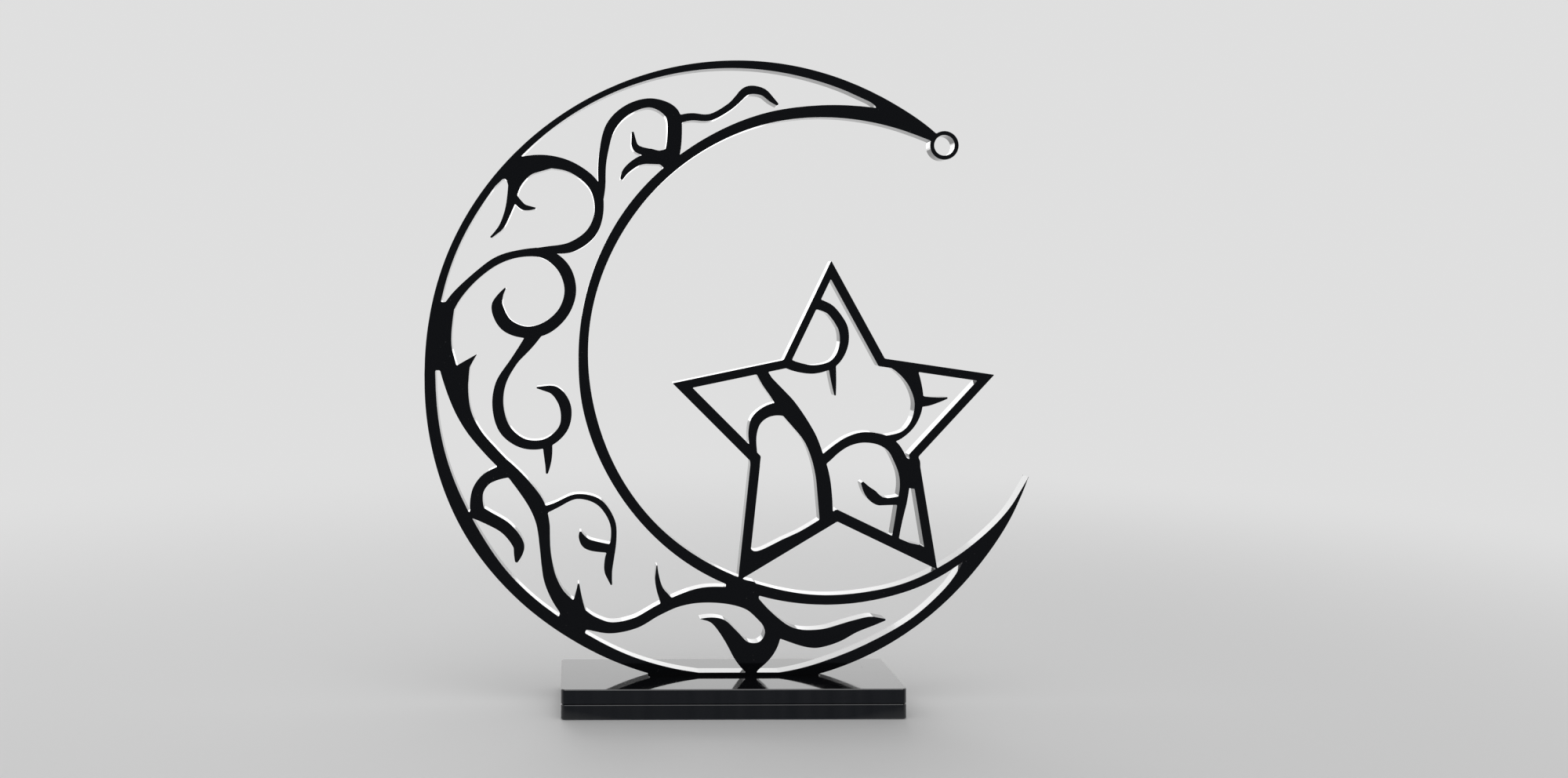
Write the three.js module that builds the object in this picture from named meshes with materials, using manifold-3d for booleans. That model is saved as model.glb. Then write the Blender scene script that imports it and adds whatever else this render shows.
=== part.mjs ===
// A crescent moon and star, cut from black acrylic sheet, that stands in a slotted base of two layers.
// Millimetres, +Z up. The ornament faces -Y, and the origin is the centre of the base's underside.
import * as THREE from "three";
import { mergeVertices } from "three/addons/utils/BufferGeometryUtils.js";
import Module from "manifold-3d";

// Sheet and base
const sheet = 2.8;
const base_width = 64;
const base_depth = 19;
const base_corner = 0.8;
const slot_clearance = 0.15;
const tab_width = 32.3;
const tab_shift = 1.1;
const tab_into_moon = 0.6;

// Moon. It and the star are drawn in small steps, this many from the moon's centre to its rim.
const moon_radius = 59.6;
const moon_shift = 1.35;
const moon_sink = 1.95;
const moon_steps = 398;
const step = moon_radius / moon_steps;

// In those steps: the circle of the moon's hollow with the band along it, and the eyelet
const hollow_place = [115.2, 24];
const hollow_radius = 306.2 * step;
const inner_band = 10.35 * step;
const eyelet_radius = 18.3 * step;
const eyelet_hole_radius = 13.1 * step;

// Where the eyelet and the star's lower left tip stand on the hollow's circle
const eyelet_angle = 60.5;
const star_anchor_angle = 248.74;

// Curves are drawn in steps of about this length, and the outline keeps the points that it needs
const curve_step = 0.45;
const curve_tolerance = 0.025;
const circle_steps = 720;
const corner_segments = 6;

// Places that follow from these sizes
const base_height = 2 * sheet;
const moon_centre = new THREE.Vector2(moon_shift, base_height + moon_radius - moon_sink);
const hollow_centre = placed(moon_centre, hollow_place);

const wasm = await Module();
wasm.setup();

// The sheet's outlines are drawn flat, x to the right and y up, and stood up at the end.

function degrees(angle) {
  return (angle * Math.PI) / 180;
}

function on_circle(centre, radius, angle) {
  return new THREE.Vector2(
    centre.x + radius * Math.cos(degrees(angle)),
    centre.y + radius * Math.sin(degrees(angle)),
  );
}

// Leaves out the points that lie on the line between their neighbours.
function thinned(points) {
  if (points.length < 3) return points;
  const first = points[0];
  const last = points[points.length - 1];
  const along = last.clone().sub(first);
  let worst = 0;
  let place = 0;
  for (let i = 1; i < points.length - 1; i++) {
    const off = points[i].clone().sub(first);
    const away = along.length() > 0 ? Math.abs(along.cross(off)) / along.length() : off.length();
    if (away > worst) {
      worst = away;
      place = i;
    }
  }
  if (worst < curve_tolerance) return [first, last];
  return [...thinned(points.slice(0, place + 1)).slice(0, -1), ...thinned(points.slice(place))];
}

// The point that lies x and y steps from a centre.
function placed(centre, [x, y]) {
  return new THREE.Vector2(x, y).multiplyScalar(step).add(centre);
}

// A smooth run through places, each [x, y] or [x, y, width] in steps. The width runs smoothly too.
function smooth(centre, places) {
  const knots = places.map((p) => {
    const at = placed(centre, p);
    return new THREE.Vector3(at.x, at.y, (p[2] ?? 0) * step);
  });
  if (knots.length < 3) return knots;
  const curve = new THREE.CatmullRomCurve3(knots, false, "centripetal");
  return curve.getSpacedPoints(Math.ceil(curve.getLength() / curve_step));
}

// The two sides of a line of varying width.
function sides(line) {
  const left = [];
  const right = [];
  line.forEach((p, i) => {
    const before = line[Math.max(i - 1, 0)];
    const after = line[Math.min(i + 1, line.length - 1)];
    const across = new THREE.Vector2(before.y - after.y, after.x - before.x).setLength(p.z / 2);
    left.push(new THREE.Vector2(p.x + across.x, p.y + across.y));
    right.push(new THREE.Vector2(p.x - across.x, p.y - across.y));
  });
  return [left, right];
}

// A solid to join and cut, from a closed geometry.
function solid_of(geometry) {
  geometry.deleteAttribute("normal");
  geometry.deleteAttribute("uv");
  const merged = mergeVertices(geometry, 1e-5);
  return new wasm.Manifold(
    new wasm.Mesh({
      numProp: 3,
      vertProperties: merged.getAttribute("position").array,
      triVerts: new Uint32Array(merged.index.array),
    }),
  );
}

// Sheet of the given outline, lying flat, from z = 0 up.
function cut_sheet(outline, height = sheet) {
  const shape = new THREE.Shape(outline);
  return solid_of(new THREE.ExtrudeGeometry(shape, { depth: height, bevelEnabled: false }));
}

function stroke(centre, places) {
  const [left, right] = sides(smooth(centre, places));
  return cut_sheet([...thinned(left), ...thinned(right).reverse()]);
}

// Sheet between smooth runs that meet at corners.
function patch(centre, ...runs) {
  const outline = runs.flatMap((run) => {
    const line = smooth(centre, run).map((p) => new THREE.Vector2(p.x, p.y));
    return thinned(line);
  });
  return cut_sheet(outline);
}

// A tool that cuts right through the sheet, with as much again to spare on both sides.
function through(outline) {
  const tool_height = 3 * sheet;
  return cut_sheet(outline, tool_height).translate([0, 0, -sheet]);
}

// A closed outline at a radius that is a number or a function of the angle.
function circle(centre, radius) {
  const at = typeof radius === "function" ? radius : () => radius;
  const whole = Array.from({ length: circle_steps + 1 }, (_, i) => {
    const angle = (360 * i) / circle_steps;
    return on_circle(centre, at(angle), angle);
  });
  const halves = [whole.slice(0, circle_steps / 2 + 1), whole.slice(circle_steps / 2)];
  return halves.flatMap((half) => thinned(half).slice(0, -1));
}

// A length that runs smoothly through stops, each [angle, steps].
function graded(stops) {
  const slope = (i) => {
    const [a, low] = stops[Math.max(i - 1, 0)];
    const [b, high] = stops[Math.min(i + 1, stops.length - 1)];
    return (high - low) / (b - a);
  };
  return (angle) => {
    const next = stops.findIndex(([at]) => at >= angle);
    if (next === 0) return stops[0][1] * step;
    if (next < 0) return stops[stops.length - 1][1] * step;
    const [a, low] = stops[next - 1];
    const [b, high] = stops[next];
    const t = (angle - a) / (b - a);
    const straight = low + (high - low) * t * t * (3 - 2 * t);
    const bend = (1 - t) * slope(next - 1) - t * slope(next);
    return (straight + t * (1 - t) * (b - a) * bend) * step;
  };
}

function joined(pieces) {
  return pieces.reduce((whole, piece) => whole.add(piece));
}

// Moon: bands

// The moon's outline stands out from its circle by this much, at angles round the moon.
// It dips inside the eyelet, where the upper tip ends.
const rim_out = graded([
  [45.5, -8],
  [47.5, -2],
  [50, 2],
  [60, 2],
  [85, 2.2],
  [120, 0.6],
  [155, 0.5],
  [178, -1.2],
  [192, 0.6],
  [210, 3.3],
  [225, 1.9],
  [240, 0],
  [290, -0.4],
  [320, -1.8],
  [332, -0.4],
]);

// Widths of the outer band. It swells where the window between the bands ends.
const outer_band = graded([
  [58, 43],
  [61, 24.5],
  [62.4, 14.5],
  [66, 12.8],
  [78, 11.6],
  [92, 9.7],
  [112, 7.7],
  [125, 7.8],
  [145, 10],
  [155, 9.8],
  [168, 11],
  [180, 14],
  [195, 15.4],
  [210, 18.3],
  [222, 15.5],
  [240, 15.8],
  [250, 14.2],
  [268, 13.8],
  [280, 12.8],
  [290, 14.2],
  [298, 13.7],
  [306, 11.8],
  [312, 12.6],
  [316, 14],
  [320, 18.4],
  [325, 28],
]);

// The inner band's edge at the hollow stands in from the hollow's circle by this much.
const hollow_edge_in = graded([
  [60, -0.4],
  [67, 2.2],
  [80, 3.1],
  [94, 2.3],
  [104, 1.5],
  [120, 1.9],
  [150, 2.9],
  [172, 2.4],
  [195, 3],
  [212, 1.8],
  [226, 1],
  [244, 1.8],
  [256, 1.5],
  [268, 0],
  [279, -0.4],
  [289, -1.9],
  [300, -1.1],
  [309, -0.4],
  [318, -0.3],
  [322, 0.6],
  [325, 2.2],
  [328.5, 3.2],
  [331, 4],
]);

// And its other edge stands out by this much. The band is widest near the upper tip.
const band_edge_out = graded([
  [62, 9.3],
  [70, 10],
  [77, 6.3],
  [84, 3.9],
  [94, 2.2],
  [104, 2],
  [122, 0],
  [140, 0],
  [155, -0.6],
  [180, -0.7],
  [192, 1],
  [212, 1.2],
  [236, 2.5],
  [250, 2.1],
  [284, 2.4],
  [292, 2.8],
  [300, 1.5],
  [308, -0.4],
  [316, -1.5],
  [325, -1.5],
]);

// The crescent without its scrollwork: its two bands, which run together at both tips.
function moon_bands() {
  const rim = (angle) => moon_radius + rim_out(angle);
  const rim_inside = (angle) => rim(angle) - outer_band(angle);
  const band_inside = (angle) => hollow_radius - hollow_edge_in(angle);
  const band_outside = (angle) => hollow_radius + inner_band + band_edge_out(angle);
  const moon = cut_sheet(circle(moon_centre, rim));
  const hollow = through(circle(hollow_centre, band_inside));
  const band = through(circle(hollow_centre, band_outside));
  const window = through(circle(moon_centre, rim_inside)).subtract(band);
  return moon.subtract(window).subtract(hollow);
}

function eyelet_centre() {
  return on_circle(hollow_centre, hollow_radius + inner_band / 6, eyelet_angle);
}

// Moon: scrollwork, in steps from the moon's centre

function moon_scrolls() {
  const line = (...places) => stroke(moon_centre, places);
  const area = (...runs) => patch(moon_centre, ...runs);
  return [
    // Tendril over the top loop
    line(
      [-80, 323, 11], [-58, 328, 9.5], [-33, 327.5, 8.5], [-6, 342.5, 8.5], [15, 361.5, 11],
      [34, 360, 9.5], [46, 350, 7], [54, 343.5, 3],
    ),
    // Top loop, from the inner band round to it again, with its two spurs
    line(
      [-174.5, 212, 8], [-171, 237, 9], [-170, 272, 10.5], [-159, 316, 13], [-136, 338, 12.5],
      [-107, 345.5, 12], [-81.5, 332, 18], [-78, 305, 18.5], [-83, 274, 19], [-90, 262, 17],
    ),
    line([-99, 279, 18], [-113, 282.5, 11], [-127.5, 289, 9], [-131.5, 309, 2.5]),
    line([-88, 277, 20], [-122.5, 272, 11], [-140.5, 258.5, 8], [-146, 248, 3.5]),
    area([[-102, 280], [-72, 284]], [[-78, 258], [-89, 265]]),
    // Second loop, with its tail and spur
    line(
      [-277, 265, 19], [-266, 269, 18.5], [-238, 270.5, 16.5], [-207.5, 262.5, 13.5],
      [-180, 239, 14], [-174.5, 207, 11.5], [-184.5, 180, 13], [-210, 162, 13], [-243, 158, 9],
      [-275, 154, 7.5],
    ),
    line(
      [-272, 264, 30], [-282.5, 241, 15.5], [-286.5, 220, 11.5], [-291.5, 204, 8.5],
      [-299.5, 187, 6.5], [-312.5, 174, 2.5],
    ),
    line([-283, 226, 9], [-271.5, 213.5, 8], [-263, 211.5, 5.5], [-255, 211.5, 1.5]),
    area(
      [[-306, 245], [-281, 277]],
      [[-262, 278], [-236, 266]],
      [[-236, 262], [-248, 258.5], [-260, 254.5], [-268, 247.5], [-274.5, 238.5], [-279.5, 226]],
      [[-286, 228], [-290, 238], [-291.2, 244], [-293.5, 248.3], [-296.5, 248.6], [-305, 239.5]],
    ),
    // Third loop and its hook
    line(
      [-370, 77, 16], [-358, 97, 13], [-334, 122.5, 9.5], [-303.5, 145, 10], [-273, 154, 9.5],
      [-243, 153.5, 13], [-219.5, 135, 15.5], [-211, 107, 15], [-219.5, 79.5, 14.5],
      [-242, 59, 15.5], [-268, 53.5, 15], [-293, 63.5, 17], [-304, 86, 15], [-299.5, 101, 6.5],
      [-293.5, 110, 1.5],
    ),
    // Stem and hook of the fourth loop, with its tail
    line(
      [-255, 54, 18], [-266, 38, 15], [-283.5, 15.5, 10], [-300, -13, 13], [-303, -43, 14.5],
      [-293.5, -71.5, 15], [-270, -88.5, 12.5], [-241, -87.5, 11.5], [-219.5, -68, 12],
      [-217.5, -41, 14.5], [-230.5, -21.5, 12], [-254, -17, 2],
    ),
    line([-240, -88, 12], [-239.5, -102, 11], [-239.5, -114, 7.5], [-241, -127, 2.5]),
    // Broad stem down the middle, from the thick part of the outer band, with the thorn at its top
    area(
      [[-368, 92], [-359, 82]],
      [[-359, 82], [-362, 57], [-362, 35], [-356, 11]],
      [[-329.5, 26]],
      [[-339, 9], [-341, -18], [-337, -48], [-324, -73], [-304, -96], [-283, -118]],
      [[-297, -125], [-307, -115], [-322, -99], [-342, -75], [-358, -48], [-370, -18], [-377, 5]],
      [[-392, 5], [-391, 50], [-386, 92]],
    ),
    line(
      [-316, -97, 10], [-292, -118, 14.5], [-270, -143, 18.5], [-253.5, -167, 20],
      [-246, -190, 17], [-243, -223, 13.5], [-240.5, -243, 14.5], [-236.5, -261.5, 16.5],
      [-227, -282, 19], [-210, -303, 25], [-196, -322, 24],
    ),
    // Arch and leaf beside the outer band
    line(
      [-287, -122, 18], [-305, -127, 16], [-319, -134.5, 14.5], [-328.5, -148, 14.5],
      [-330.5, -166, 17], [-328, -180, 20],
    ),
    line(
      [-338, -172, 20], [-317, -182.5, 16.5], [-292.5, -197, 15.5], [-277, -218, 14.5],
      [-277.5, -229, 11], [-280, -240, 3],
    ),
    // Arch over the fifth loop, with its tail, and its hook
    line(
      [-246, -174, 10], [-230, -167.5, 7.5], [-203, -156, 6.5], [-175, -163, 8],
      [-157.5, -188, 7.5], [-156, -212, 7.5], [-161, -235, 11.5], [-162.5, -251, 10],
      [-158.5, -269, 2],
    ),
    line([-156, -222.5, 10], [-168, -221.5, 12], [-190, -216, 13], [-197, -206, 7], [-198, -200.5, 2]),
    // Bottom scroll with its thorns
    area([[-228, -305], [-206, -300]], [[-188, -330], [-214, -330]]),
    line([-202, -303, 22], [-201, -285, 10], [-200.5, -267, 2]),
    line(
      [-214, -305, 24], [-200, -311, 26], [-184, -317.5, 19], [-160, -323.5, 14.5],
      [-128, -317.5, 13.5], [-101, -302.5, 13], [-73, -289.5, 14.5], [-41, -282, 19.5],
      [-3, -284, 21.5], [19.5, -292.5, 20], [32.6, -305.5, 17], [42.3, -317, 16.8], [46, -330, 17],
      [42, -345, 18],
    ),
    line([-88, -290, 16], [-96.5, -275, 9], [-100, -261, 6], [-100.5, -244, 1.5]),
    // The knot where the bottom scroll, the inner band and the star meet
    area([[-11, -258], [-11, -288], [27, -292], [27, -268], [10, -262]]),
    // Drop that points at the base
    area(
      [
        [-46, -312.5], [-30, -310.5], [-14, -314], [3, -329.5], [16, -342], [30, -342], [38, -331],
        [38, -318],
      ],
      [[58, -330], [56, -342], [49, -357], [40, -368], [30, -377], [21, -388]],
      [[21, -388], [10, -378], [-1, -364], [-11, -345.5], [-22, -328], [-32, -317], [-46, -312.5]],
    ),
    // Right leaf
    area(
      [[22, -278], [47, -305], [74, -324], [108, -326], [147, -315.5], [173, -310], [192, -313]],
      [
        [192, -315], [179, -320.5], [155, -330], [137, -340], [120, -346.5], [102, -350],
        [85, -347.5], [67, -341.5], [52, -335], [42, -321],
      ],
    ),
  ];
}

// Star: frame, in steps from the star's centre

// The corners go round from the top tip by way of the left tip, each with the width of the beam that
// follows it. The two lower tips run on into the moon's inner band.
const star_corners = [
  [-3, 216.3, 9.7],
  [-64, 89.5, 11],
  [-206, 60, 14],
  [-106, -40, 12.3],
  [-122.3, -193.1, 14],
  [5, -117, 13.8],
  [133, -178.5, 12],
  [109, -34, 11],
  [206, 70.5, 10.8],
  [65.6, 91.2, 11.8],
];
const star_root = star_corners[4];
const star_anchor = on_circle(hollow_centre, hollow_radius + inner_band / 3, star_anchor_angle);
const star_centre = placed(star_anchor, [-star_root[0], -star_root[1]]);

function star_frame() {
  const corners = star_corners.map((corner) => placed(star_centre, corner));
  const beams = corners.map((from, i) => {
    const along = corners[(i + 1) % corners.length].clone().sub(from).normalize();
    const inward = new THREE.Vector2(-along.y, along.x).multiplyScalar(star_corners[i][2] * step);
    return { from: from.clone().add(inward), along };
  });
  const window_corners = beams.map((beam, i) => {
    const before = beams[(i + beams.length - 1) % beams.length];
    const gap = beam.from.clone().sub(before.from);
    const run = gap.cross(beam.along) / before.along.cross(beam.along);
    return before.from.clone().addScaledVector(before.along, run);
  });
  return cut_sheet(corners).subtract(through(window_corners));
}

// Star: scrollwork, in steps from the star's centre
function star_scrolls() {
  const line = (...places) => stroke(star_centre, places);
  const area = (...runs) => patch(star_centre, ...runs);
  return [
    // Small loop under the top tip, with its tail
    line(
      [-21, 161, 14], [-5.5, 154.5, 12.5], [4, 144, 12.5], [12, 130, 12.5], [13.5, 112, 11.5],
      [8, 95, 10], [-2, 84, 9.5], [-25, 77.5, 11], [-50, 81.5, 12.5], [-63, 87, 13],
    ),
    line([-2, 83, 10], [0, 63, 7], [2, 44, 2]),
    // Long stem from the left arm down to the foot of the star
    line(
      [-93, 76, 14], [-84, 61, 15.5], [-74, 49, 18], [-57.3, 27.4, 22.5], [-31, -8.7, 17.2],
      [-21.5, -31.5, 16], [-15, -54, 17.5], [-12, -74, 18.5], [-11, -94, 19], [-10, -114, 19.5],
    ),
    // Left arch
    line(
      [-100.5, -46, 13], [-102.5, -26, 9], [-103.5, -4, 11], [-99, 12, 13.5], [-88, 22, 14.5],
      [-75, 26.5, 16], [-60, 25, 15],
    ),
    // Right arch, which runs on into the strut at the lower right
    line(
      [-20, -44, 13], [-9, -35, 12.5], [4.5, -23.5, 11.5], [19, -14.5, 12], [37, -9.5, 13.5],
      [55, -11, 14], [66.5, -15, 15], [77, -23, 16], [85, -37, 16.5], [91, -54, 16],
      [91, -72, 12.5], [88, -92, 12], [84, -112, 10], [77, -150, 9],
    ),
    // Round stroke on the right, with its tick
    area(
      [[57, 86], [77, 77], [94, 60], [103.3, 37], [102, 20], [97, 8], [87, -2], [57, -9]],
      [[57, -18], [80, -14.5], [96, -4], [106, 8], [112.5, 23], [115, 40], [113, 57], [106, 84]],
    ),
    line([106, 36.5, 15], [120, 36.5, 12], [132, 38, 7.5], [146, 41, 2]),
    // Knot between the arch and the right arm
    area([
      [80, -22], [91, -34], [101, -38], [109, -36], [111, -60], [107, -74], [97, -74], [86, -62],
    ]),
    // Hook on the strut
    line(
      [87, -90, 11], [67, -91.5, 9.5], [57, -89.5, 13], [49, -83, 14], [42.5, -76, 10],
      [36.5, -66.5, 3.5],
    ),
    // Broad ends of the two lower beams
    area(
      [[-109, -150], [-100, -154.5], [-64, -139], [-44, -130], [-28, -121.5]],
      [[-28, -133], [-114, -184]],
    ),
    area([[80, -137], [97, -144], [115, -149], [122, -158], [120, -166], [74, -144]]),
  ];
}

// The tab is as wide as the slot allows, and its foot stands on the base's lower layer.
function tab() {
  const left = tab_shift - tab_width / 2;
  const right = tab_shift + tab_width / 2;
  const top = base_height + tab_into_moon;
  return cut_sheet([
    new THREE.Vector2(left, sheet),
    new THREE.Vector2(right, sheet),
    new THREE.Vector2(right, top),
    new THREE.Vector2(left, top),
  ]);
}

function moon_and_star_plate() {
  const below = -base_width;
  const under_base_top = through([
    new THREE.Vector2(-base_width, below),
    new THREE.Vector2(base_width, below),
    new THREE.Vector2(base_width, base_height),
    new THREE.Vector2(-base_width, base_height),
  ]);
  const ring = cut_sheet(circle(eyelet_centre(), eyelet_radius));
  const ring_hole = through(circle(eyelet_centre(), eyelet_hole_radius));
  const moon = joined([moon_bands(), ring, ...moon_scrolls()]);
  const star = joined([star_frame(), ...star_scrolls()]);
  return joined([moon.subtract(under_base_top), star, tab()]).subtract(ring_hole);
}

// Base

function rounded_rectangle(width, depth, corner) {
  const shape = new THREE.Shape();
  const x = width / 2 - corner;
  const y = depth / 2 - corner;
  shape.absarc(x, y, corner, 0, Math.PI / 2);
  shape.absarc(-x, y, corner, Math.PI / 2, Math.PI);
  shape.absarc(-x, -y, corner, Math.PI, 1.5 * Math.PI);
  shape.absarc(x, -y, corner, 1.5 * Math.PI, 2 * Math.PI);
  return shape;
}

function layer_of(outline) {
  const settings = { depth: sheet, bevelEnabled: false, curveSegments: corner_segments };
  return new THREE.ExtrudeGeometry(outline, settings);
}

function base_bottom_layer() {
  return layer_of(rounded_rectangle(base_width, base_depth, base_corner));
}

function base_top_layer() {
  const outline = rounded_rectangle(base_width, base_depth, base_corner);
  const x = tab_width / 2 + slot_clearance;
  const y = sheet / 2 + slot_clearance;
  const slot = new THREE.Path([
    new THREE.Vector2(tab_shift - x, -y),
    new THREE.Vector2(tab_shift - x, y),
    new THREE.Vector2(tab_shift + x, y),
    new THREE.Vector2(tab_shift + x, -y),
  ]);
  outline.holes.push(slot);
  return layer_of(outline);
}

// Assembly

function geometry_of(solid) {
  const mesh = solid.getMesh();
  const geometry = new THREE.BufferGeometry();
  geometry.setAttribute("position", new THREE.BufferAttribute(mesh.vertProperties, 3));
  geometry.setIndex(new THREE.BufferAttribute(mesh.triVerts, 1));
  geometry.computeVertexNormals();
  return geometry;
}

function black_acrylic() {
  return new THREE.MeshStandardMaterial({ color: 0x0b0b0d, roughness: 0.08, metalness: 0 });
}

function piece(name, geometry) {
  const mesh = new THREE.Mesh(geometry, black_acrylic());
  mesh.name = name;
  return mesh;
}

const ornament = new THREE.Group();

const bottom_layer = piece("base_bottom_layer", base_bottom_layer());
ornament.add(bottom_layer);

const top_layer = piece("base_top_layer", base_top_layer());
top_layer.position.z = sheet;
ornament.add(top_layer);

const plate_geometry = geometry_of(moon_and_star_plate());
plate_geometry.rotateX(Math.PI / 2).translate(0, sheet / 2, 0);
ornament.add(piece("moon_and_star_plate", plate_geometry));

export default ornament;
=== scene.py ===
"""A crescent moon and star cut from black acrylic, in its slotted base, in a plain studio."""
import bisect
import math
import bmesh
import bpy
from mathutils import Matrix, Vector, geometry

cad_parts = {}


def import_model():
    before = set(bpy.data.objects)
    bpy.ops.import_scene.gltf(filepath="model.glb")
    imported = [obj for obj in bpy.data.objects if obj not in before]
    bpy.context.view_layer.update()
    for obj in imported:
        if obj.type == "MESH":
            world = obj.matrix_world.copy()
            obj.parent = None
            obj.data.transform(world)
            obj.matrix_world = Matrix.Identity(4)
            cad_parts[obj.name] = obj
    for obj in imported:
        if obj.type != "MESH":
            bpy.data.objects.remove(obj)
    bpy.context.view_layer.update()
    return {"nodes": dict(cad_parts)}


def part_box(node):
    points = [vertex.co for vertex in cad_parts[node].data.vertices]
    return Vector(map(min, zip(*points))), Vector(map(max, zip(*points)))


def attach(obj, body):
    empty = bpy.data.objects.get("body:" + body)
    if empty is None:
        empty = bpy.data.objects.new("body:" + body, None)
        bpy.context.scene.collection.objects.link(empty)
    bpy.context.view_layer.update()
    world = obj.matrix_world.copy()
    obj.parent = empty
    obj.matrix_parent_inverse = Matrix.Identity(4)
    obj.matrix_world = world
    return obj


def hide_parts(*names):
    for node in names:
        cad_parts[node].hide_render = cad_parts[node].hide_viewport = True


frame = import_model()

MM = 0.001
TINY = 1e-6

# Camera, in millimetres, degrees and pixels. The photograph is a crop of a wider picture, so its
# centre of view lies to the left of the picture's middle and above it, and the camera is shifted.
PHOTO_WIDTH = 2000
FOCAL_PIXELS = 1541.0
CAMERA_PLACE = (-30.26, -231.95, 77.59)
CAMERA_YAW = 0.47
CAMERA_PITCH = 0.175
SHIFT = (0.13, -0.055)
SENSOR = 36.0
CLIP = (10, 20000)

# Outlines, in millimetres and degrees. A turn past CORNER is a corner. Corners that turn opposite
# ways within STEP_LENGTH are a small step, which is left out.
LEAST_POINTS = 8
LEAST_AREA = 0.0006
CORNER = 32
STEP_LENGTH = 0.75

# Curves between corners: a chord becomes a curve with a point for each TURN_STEP, and a chord
# LONGER times as long as its neighbour gives their shared point its own direction.
TURN_STEP = 2.5
MOST_STEPS = 8
MOST_BULGE = 0.035
LONGER = 3

# Corners are rounded over CORNER_REACH on each side, or over a share of the way to the next corner.
CORNER_REACH = 0.25
CORNER_SHARE = 0.45
CORNER_STEPS = 5
LEAST_CHORD = 0.02

# Chamfers of the upright sheet and of the base's layers. They narrow where a turn past SLIGHT_TURN
# leaves less room, and widen at a mitre up to MOST_MITRE times.
FINE_EDGE = 0.05
BASE_EDGE = 0.16
SLIGHT_TURN = 8
MITRE_SHARE = 0.45
LEAST_MITRE = 0.2
MOST_MITRE = 1.6

# Acrylic
ACRYLIC = (0.0035, 0.0036, 0.0042)
CUT_ACRYLIC = (0.009, 0.009, 0.010)
DUST = (0.14, 0.135, 0.13)
ACRYLIC_IOR = 1.49

# Studio: pale all round for the camera. Gloss sees it pale behind the ornament and dim in front of
# it, and between the two where a direction's forward part, from -1 to 1, is within DIM_TO_PALE.
BACKGROUND = (0.74, 0.74, 0.74)
DIM_SIDE = (0.11, 0.12, 0.14)
DIM_TO_PALE = (-0.45, 0.15)
ROOM_LIGHT = (0.55, 0.55, 0.55)

# Floor, in metres: it fades into the backdrop between two distances from the ornament.
FLOOR_COLOUR = (0.74, 0.74, 0.74)
FLOOR_SIZE = 6.0
FLOOR_DROP = 0.00005
FLOOR_NEAR = 0.10
FLOOR_FAR = 0.36

# Softboxes, in metres, all aimed at the ornament's lower half: place, width, height and radiance
LAMP_AIM = (0, 0, 0.06)
SOFTBOXES = {
    "back_softbox": ((-0.16, 0.95, 0.36), 1.0, 0.62, 1.3),
    "left_softbox": ((-0.31, 0.90, 0.36), 0.5, 0.44, 0.9),
    "top_softbox": ((0.02, -0.16, 0.9), 0.6, 0.6, 1.2),
}


# Outlines of the sheets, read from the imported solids


def cap_loops(node, axis, side):
    """Outlines of a node's face on one side of the axis, in millimetres, solid on their left."""
    across = [i for i in range(3) if i != axis]
    bm = bmesh.new()
    bm.from_mesh(node.data)
    bmesh.ops.remove_doubles(bm, verts=bm.verts, dist=TINY)
    heights = [v.co[axis] for v in bm.verts]
    plane = max(heights) if side > 0 else min(heights)
    cap = [f for f in bm.faces if all(abs(v.co[axis] - plane) < TINY for v in f.verts)]
    in_cap = set(cap)
    after = {}
    for face in cap:
        for corner in face.loops:
            if sum(other in in_cap for other in corner.edge.link_faces) == 1:
                after[corner.vert] = corner.link_loop_next.vert
    loops = []
    while after:
        start, vert = after.popitem()
        loop = [start]
        while vert is not start:
            loop.append(vert)
            vert = after.pop(vert)
        points = [Vector((v.co[across[0]], v.co[across[1]])) / MM for v in loop]
        loops.append(points)
    bm.free()
    return loops


def cross(a, b):
    return a.x * b.y - a.y * b.x


def turn(a, b):
    return math.atan2(cross(a, b), a.dot(b))


def chords_of(points):
    return [points[(i + 1) % len(points)] - points[i] for i in range(len(points))]


def turns_of(chords):
    return [turn(chords[i - 1], chords[i]) for i in range(len(chords))]


def corners_of(chords):
    return [i for i, t in enumerate(turns_of(chords)) if abs(t) > math.radians(CORNER)]


def without_specks(points):
    """Drops points that hardly change the outline."""
    points = list(points)
    while len(points) > LEAST_POINTS:
        chords = chords_of(points)
        areas = [abs(cross(chords[i - 1], chords[i])) / 2 for i in range(len(points))]
        least = min(range(len(points)), key=areas.__getitem__)
        if areas[least] > LEAST_AREA:
            break
        points.pop(least)
    return points


def without_steps(points):
    """Drops the lesser of two corners that lie close together and turn opposite ways."""
    points = list(points)
    while True:
        count = len(points)
        chords = chords_of(points)
        turns, corners = turns_of(chords), corners_of(chords)
        dropped = set()
        for n, i in enumerate(corners):
            j = corners[(n + 1) % len(corners)]
            between = [(i + k) % count for k in range((j - i) % count)]
            length = sum(chords[k].length for k in between)
            if turns[i] * turns[j] < 0 and length < STEP_LENGTH:
                dropped = set(between[1:]) | {i if abs(turns[i]) < abs(turns[j]) else j}
                break
        if not dropped or count - len(dropped) < LEAST_POINTS:
            return points
        points = [p for i, p in enumerate(points) if i not in dropped]


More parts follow.
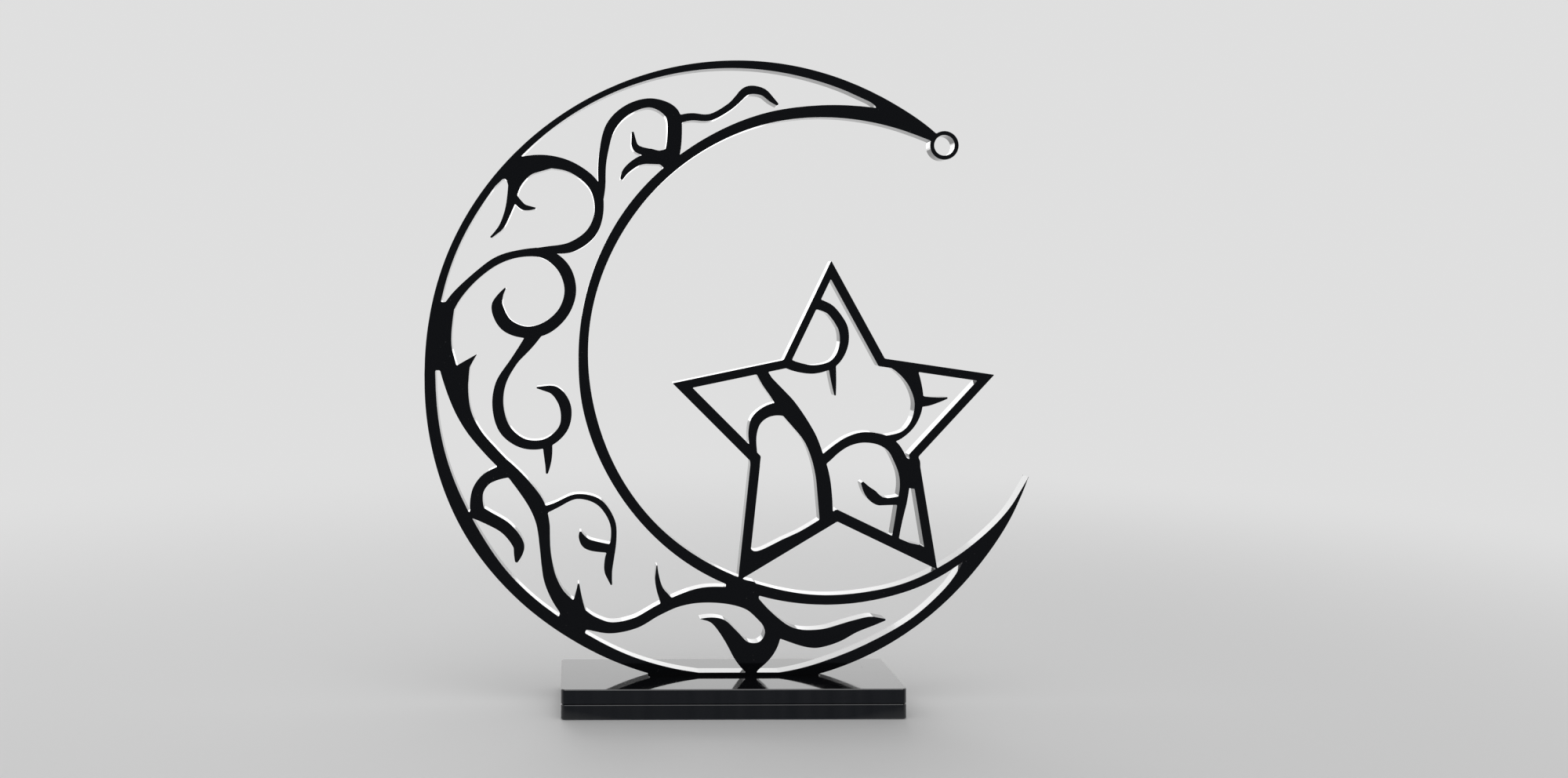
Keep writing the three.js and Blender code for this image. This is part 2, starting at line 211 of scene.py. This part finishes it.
def curved(points):
    """The outline with its chords bent into smooth curves between its corners."""
    count = len(points)
    chords = chords_of(points)
    corners = set(corners_of(chords))

    def tangent(i):
        before, after = chords[i - 1], chords[i]
        if before.length > LONGER * after.length:
            return before.normalized()
        if after.length > LONGER * before.length:
            return after.normalized()
        weighted = before.normalized() * after.length + after.normalized() * before.length
        return weighted.normalized()

    out = []
    for i in range(count):
        j = (i + 1) % count
        chord = chords[i]
        along = chord.normalized()
        # At a corner a chord mirrors its other end. Between two corners it stays straight.
        leave = along if i in corners else tangent(i)
        reach = along if j in corners else tangent(j)
        if i in corners and j not in corners:
            leave = 2 * along.dot(reach) * along - reach
        if j in corners and i not in corners:
            reach = 2 * along.dot(leave) * along - leave
        bend = abs(turn(leave, along)) + abs(turn(along, reach))
        steps = max(1, min(MOST_STEPS, math.ceil(math.degrees(bend) / TURN_STEP)))
        curve = []
        for k in range(steps):
            t = k / steps
            p = points[i] + chord * (t * t * (3 - 2 * t))
            p = p + leave * chord.length * t * (1 - t) ** 2
            p = p - reach * chord.length * t * t * (1 - t)
            curve.append(p)
        out_by = max(abs(cross(along, p - points[i])) for p in curve)
        share = min(1, MOST_BULGE / out_by) if out_by > 0 else 1
        for p in curve:
            straight = points[i] + along * along.dot(p - points[i])
            out.append(straight.lerp(p, share))
    return out


def eased(points):
    """Rounds the outline's sharp corners a little, as far as the next corners leave room."""
    count = len(points)
    chords = chords_of(points)
    corners = corners_of(chords)
    if not corners:
        return points
    places = [0.0]
    for chord in chords:
        places.append(places[-1] + chord.length)
    whole = places[-1]

    def at(place):
        i = min(bisect.bisect_right(places, place % whole), count) - 1
        return points[i] + chords[i] * ((place % whole - places[i]) / chords[i].length)

    gaps = []
    for n, i in enumerate(corners):
        gap = places[corners[(n + 1) % len(corners)]] - places[i]
        gaps.append(gap if gap > 0 else gap + whole)
    reaches = [
        min(CORNER_REACH, CORNER_SHARE * gaps[n - 1], CORNER_SHARE * gaps[n])
        for n in range(len(corners))
    ]
    out = []
    for n, i in enumerate(corners):
        here, reach = places[i], reaches[n]
        start, end = at(here - reach), at(here + reach)
        for k in range(CORNER_STEPS + 1):
            t = k / CORNER_STEPS
            out.append(start.lerp(points[i], t).lerp(points[i].lerp(end, t), t))
        first = here + reach + LEAST_CHORD
        last = here + gaps[n] - reaches[(n + 1) % len(corners)] - LEAST_CHORD
        for j in range(i + 1, i + count):
            place = places[j % count] + whole * (j // count)
            if first < place < last:
                out.append(points[j % count])
            elif place >= last:
                break
    return out


def drawn_in(points, by):
    """The outline moved into the solid, on its left, and by less where there is little room."""
    chords = chords_of(points)
    moved = []
    for i, p in enumerate(points):
        before, after = chords[i - 1], chords[i]
        a, b = before.normalized(), after.normalized()
        across = Vector((-a.y, a.x))
        left = Vector((-a.y - b.y, a.x + b.x))
        left = left.normalized() if left.length > TINY else across
        mitre = min(MOST_MITRE, 1 / max(LEAST_MITRE, left.dot(across)))
        sharp = abs(turn(a, b))
        if sharp > math.radians(SLIGHT_TURN):
            room = MITRE_SHARE * min(before.length, after.length) / math.tan(sharp / 2)
        else:
            room = by
        moved.append(p + left * min(by, room) * mitre)
    return moved


def filled(outlines):
    """Triangles inside the outlines, on their left, as numbers of points through all outlines."""
    flat, rims = [], []
    for points in outlines:
        base, count = len(flat), len(points)
        flat.extend(points)
        rims.extend((base + i, base + (i + 1) % count) for i in range(count))
    made = geometry.delaunay_2d_cdt(flat, rims, [], 0, TINY)
    triangles = [tuple(made[3][v][0] for v in face) for face in made[2]]
    rims = set(rims)
    by_side = {(t[k], t[(k + 1) % 3]): t for t in triangles for k in range(3)}
    inside = {by_side[rim] for rim in rims}
    rest = list(inside)
    while rest:
        t = rest.pop()
        for k in range(3):
            side = (t[k], t[(k + 1) % 3])
            beyond = by_side.get((side[1], side[0]))
            if side not in rims and beyond and beyond not in inside:
                inside.add(beyond)
                rest.append(beyond)
    return sorted(inside)


# Pieces of sheet, with their edges broken by a fine chamfer


def sheet_piece(name, node_name, axis, body, materials, edge):
    """A sheet of its node's outline, whose thickness lies along the axis. It replaces the node."""
    node = frame["nodes"][node_name]
    side = -1 if axis == 1 else 1
    low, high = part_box(node_name)
    near, far = (low[axis], high[axis]) if side < 0 else (high[axis], low[axis])
    inward = edge * MM * (1 if far > near else -1)
    outlines = [
        eased(curved(without_steps(without_specks(points))))
        for points in cap_loops(node, axis, side)
    ]
    # Levels of the outline: a face, the foot of its chamfer, the other chamfer's foot, that face.
    levels = [(True, near), (False, near + inward), (False, far - inward), (True, far)]
    bands = len(levels) - 1

    def placed(p, height):
        place = [p.x * MM, p.y * MM]
        place.insert(axis, height)
        return Vector(place)

    verts, faces, cut_faces = [], [], []
    near_index, far_index = [], []
    for points in outlines:
        count = len(points)
        first = len(verts)
        last = first + bands * count
        inner = drawn_in(points, edge)
        for inset, height in levels:
            verts.extend(placed(p, height) for p in (inner if inset else points))
        for upper in range(first, last, count):
            for i in range(count):
                j = (i + 1) % count
                cut_faces.append((upper + j, upper + i, upper + count + i, upper + count + j))
        near_index.extend(range(first, first + count))
        far_index.extend(range(last, last + count))
    for corners in filled(outlines):
        faces.append([near_index[c] for c in corners])
        faces.append([far_index[c] for c in reversed(corners)])
    mesh = bpy.data.meshes.new(name)
    mesh.from_pydata(verts, [], faces + cut_faces)
    for polygon in mesh.polygons:
        polygon.material_index = 0 if polygon.index < len(faces) else 1
    mesh.update()
    mesh.shade_smooth()
    mesh.set_sharp_from_angle(angle=math.radians(CORNER))
    for material in materials:
        mesh.materials.append(material)
    piece = bpy.data.objects.new(name, mesh)
    bpy.context.scene.collection.objects.link(piece)
    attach(piece, body)
    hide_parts(node_name)


# Materials


class Nodes:
    """Nodes of a material or the world, made and linked in a few words."""

    def __init__(self, name):
        self.material = bpy.data.materials.new(name)
        self.material.use_nodes = True
        self.tree = self.material.node_tree
        self.shader = self.tree.nodes["Principled BSDF"]

    @classmethod
    def of(cls, tree, shader):
        made = cls.__new__(cls)
        made.tree = tree
        made.shader = tree.nodes[shader]
        return made

    def add(self, kind, settings=None, **inputs):
        node = self.tree.nodes.new(kind)
        for key, value in (settings or {}).items():
            setattr(node, key, value)
        for key, value in inputs.items():
            self.feed(node, key.replace("_", " "), value)
        return node

    def feed(self, node, socket, value):
        target = node.inputs[socket]
        if isinstance(value, bpy.types.NodeSocket):
            self.tree.links.new(value, target)
        else:
            target.default_value = value

    def place(self, scale):
        coordinates = self.add("ShaderNodeTexCoord")
        mapping = self.add("ShaderNodeMapping")
        self.feed(mapping, "Vector", coordinates.outputs["Object"])
        self.feed(mapping, "Scale", scale)
        return mapping.outputs["Vector"]

    def noise(self, place, scale, detail=2.0, rough=0.5):
        node = self.add("ShaderNodeTexNoise", Vector=place, Scale=scale)
        self.feed(node, "Detail", detail)
        self.feed(node, "Roughness", rough)
        return node.outputs["Fac"]

    def ranged(self, value, low, high, to_low, to_high):
        node = self.add("ShaderNodeMapRange", Value=value)
        self.feed(node, "From Min", low)
        self.feed(node, "From Max", high)
        self.feed(node, "To Min", to_low)
        self.feed(node, "To Max", to_high)
        return node.outputs["Result"]

    def math(self, operation, a, b):
        node = self.add("ShaderNodeMath", {"operation": operation})
        self.feed(node, 0, a)
        self.feed(node, 1, b)
        return node.outputs["Value"]

    def mixed(self, value, first, second):
        node = self.add("ShaderNodeMix", {"data_type": "RGBA"}, Factor=value)
        for socket, colour in ((node.inputs[6], first), (node.inputs[7], second)):
            if isinstance(colour, bpy.types.NodeSocket):
                self.tree.links.new(colour, socket)
            else:
                socket.default_value = (*colour, 1)
        return node.outputs[2]

    def bump(self, height, distance, strength=1.0, after=None):
        node = self.add("ShaderNodeBump", Height=height, Distance=distance, Strength=strength)
        if after is not None:
            self.feed(node, "Normal", after)
        return node.outputs["Normal"]


def acrylic_face():
    """Polished sheet: near-black, slightly uneven in gloss, with hair scratches and dust."""
    n = Nodes("acrylic_face")
    near = n.place((1, 1, 1))
    haze = n.noise(near, 55.0, 4.0, 0.6)
    smear = n.noise(n.place((40, 40, 9)), 22.0, 3.0, 0.7)
    scratch_one = n.noise(n.place((1.0, 1.0, 0.04)), 5200.0, 1.0)
    scratch_two = n.noise(n.place((0.05, 1.0, 1.0)), 4300.0, 1.0)
    upright = n.ranged(scratch_one, 0.70, 0.76, 0, 1)
    level = n.ranged(scratch_two, 0.71, 0.77, 0, 1)
    scratches = n.math("MAXIMUM", upright, level)
    dust_cells = n.add("ShaderNodeTexVoronoi", Vector=near, Scale=750.0)
    speck = n.ranged(dust_cells.outputs["Distance"], 0.05, 0.11, 1, 0)
    dusty = n.ranged(n.noise(near, 130.0, 3.0), 0.52, 0.66, 0, 1)
    dust = n.math("MULTIPLY", speck, dusty)
    rough = n.ranged(n.math("MULTIPLY", haze, smear), 0.1, 0.45, 0.035, 0.11)
    rough = n.math("ADD", rough, n.math("MULTIPLY", scratches, 0.08))
    rough = n.math("ADD", rough, n.math("MULTIPLY", dust, 0.4))
    n.feed(n.shader, "Base Color", n.mixed(n.math("MULTIPLY", dust, 0.35), ACRYLIC, DUST))
    n.feed(n.shader, "Roughness", rough)
    n.shader.inputs["IOR"].default_value = ACRYLIC_IOR
    wave = n.bump(n.noise(near, 28.0, 1.0), 0.00004)
    n.feed(n.shader, "Normal", n.bump(scratches, 0.000002, 0.5, wave))
    return n.material


def acrylic_cut(name, thickness_axis):
    """Laser-cut edge: glossy, with the fine lines that the cut leaves through the sheet."""
    n = Nodes(name)
    # The lines run through the thickness, so the pattern doesn't change along it.
    through = n.place([0 if i == thickness_axis else 1 for i in range(3)])
    fine = n.noise(through, 3600.0, 2.0, 0.6)
    broad = n.noise(through, 420.0, 2.0, 0.5)
    lines = n.math("ADD", n.math("MULTIPLY", fine, 0.6), n.math("MULTIPLY", broad, 0.4))
    n.feed(n.shader, "Roughness", n.ranged(lines, 0.3, 0.7, 0.06, 0.2))
    paler = n.ranged(broad, 0.35, 0.65, 0, 1)
    n.feed(n.shader, "Base Color", n.mixed(paler, ACRYLIC, CUT_ACRYLIC))
    n.shader.inputs["IOR"].default_value = ACRYLIC_IOR
    n.shader.inputs["Coat Weight"].default_value = 1.0
    n.shader.inputs["Coat Roughness"].default_value = 0.06
    n.feed(n.shader, "Normal", n.bump(lines, 0.00002, 0.35))
    return n.material


# Studio


def any_of(n, names):
    """1 for the named kinds of ray, such as Is Camera Ray, and 0 for others."""
    path = n.add("ShaderNodeLightPath")
    kinds = [path.outputs[name] for name in names]
    whole = kinds[0]
    for kind in kinds[1:]:
        whole = n.math("MAXIMUM", whole, kind)
    return whole


def behind(n, forward):
    """0 on the ornament's front side and 1 behind it, from a value that runs from -1 to 1."""
    return n.ranged(forward, *DIM_TO_PALE, 0, 1)


def backdrop_colour(n, forward):
    """Pale for the camera, and for gloss only behind the ornament."""
    direct = any_of(n, ["Is Camera Ray", "Is Transmission Ray"])
    return n.mixed(n.math("MAXIMUM", behind(n, forward), direct), DIM_SIDE, BACKGROUND)


def floor():
    around = [(-1, -1), (1, -1), (1, 1), (-1, 1)]
    corners = [(x * FLOOR_SIZE, y * FLOOR_SIZE, -FLOOR_DROP) for x, y in around]
    mesh = bpy.data.meshes.new("floor")
    mesh.from_pydata(corners, [], [(0, 1, 2, 3)])
    n = Nodes("studio_floor")
    n.shader.inputs["Base Color"].default_value = (*FLOOR_COLOUR, 1)
    n.shader.inputs["Roughness"].default_value = 0.7
    n.shader.inputs["Specular IOR Level"].default_value = 0.2
    place = n.add("ShaderNodeTexCoord").outputs["Object"]
    away = n.add("ShaderNodeVectorMath", {"operation": "LENGTH"})
    n.feed(away, 0, place)
    distance = away.outputs["Value"]
    split = n.add("ShaderNodeSeparateXYZ", Vector=place)
    forward = n.math("DIVIDE", split.outputs["Y"], distance)
    far = n.add("ShaderNodeEmission", Color=backdrop_colour(n, forward), Strength=1.0)
    fade = n.add("ShaderNodeMapRange", {"interpolation_type": "SMOOTHSTEP"}, Value=distance)
    n.feed(fade, "From Min", FLOOR_NEAR)
    n.feed(fade, "From Max", FLOOR_FAR)
    in_front = n.math("SUBTRACT", 1.0, behind(n, forward))
    dimmed = n.math("MULTIPLY", any_of(n, ["Is Glossy Ray"]), in_front)
    mix = n.add("ShaderNodeMixShader", Fac=n.math("MAXIMUM", fade.outputs["Result"], dimmed))
    n.feed(mix, 1, n.shader.outputs["BSDF"])
    n.feed(mix, 2, far.outputs["Emission"])
    n.feed(n.tree.nodes["Material Output"], "Surface", mix.outputs["Shader"])
    mesh.materials.append(n.material)
    made = bpy.data.objects.new("floor", mesh)
    bpy.context.scene.collection.objects.link(made)


def world():
    made = bpy.data.worlds.new("studio")
    bpy.context.scene.world = made
    made.use_nodes = True
    n = Nodes.of(made.node_tree, "Background")
    direction = n.add("ShaderNodeTexCoord").outputs["Generated"]
    forward = n.add("ShaderNodeSeparateXYZ", Vector=direction).outputs["Y"]
    shown = any_of(n, ["Is Camera Ray", "Is Glossy Ray", "Is Transmission Ray"])
    n.feed(n.shader, "Color", n.mixed(shown, ROOM_LIGHT, backdrop_colour(n, forward)))
    n.shader.inputs["Strength"].default_value = 1.0


def softbox(name, place, width, height, radiance):
    data = bpy.data.lights.new(name, "AREA")
    data.shape = "RECTANGLE"
    data.size = width
    data.size_y = height
    data.energy = radiance * math.pi * width * height
    made = bpy.data.objects.new(name, data)
    made.location = Vector(place)
    aim = Vector(LAMP_AIM) - Vector(place)
    made.rotation_euler = aim.to_track_quat("-Z", "Y").to_euler()
    made.visible_camera = False
    bpy.context.scene.collection.objects.link(made)


def camera():
    data = bpy.data.cameras.new("camera")
    data.sensor_width = SENSOR
    data.lens = FOCAL_PIXELS * SENSOR / PHOTO_WIDTH
    data.shift_x, data.shift_y = SHIFT
    data.clip_start, data.clip_end = CLIP[0] * MM, CLIP[1] * MM
    made = bpy.data.objects.new("camera", data)
    made.location = Vector(CAMERA_PLACE) * MM
    made.rotation_euler = (math.radians(90 - CAMERA_PITCH), 0, -math.radians(CAMERA_YAW))
    bpy.context.scene.collection.objects.link(made)
    bpy.context.scene.camera = made


camera()
world()
floor()
for name, settings in SOFTBOXES.items():
    softbox(name, *settings)

faces = acrylic_face()
plate_edges = acrylic_cut("acrylic_cut_edge_upright", 1)
base_edges = acrylic_cut("acrylic_cut_edge_flat", 2)
sheet_piece("moon_and_star", "moon_and_star_plate", 1, "ornament", [faces, plate_edges], FINE_EDGE)
sheet_piece("base_top", "base_top_layer", 2, "base", [faces, base_edges], BASE_EDGE)
sheet_piece("base_bottom", "base_bottom_layer", 2, "base", [faces, base_edges], BASE_EDGE)

bpy.context.scene.view_settings.view_transform = "Standard"
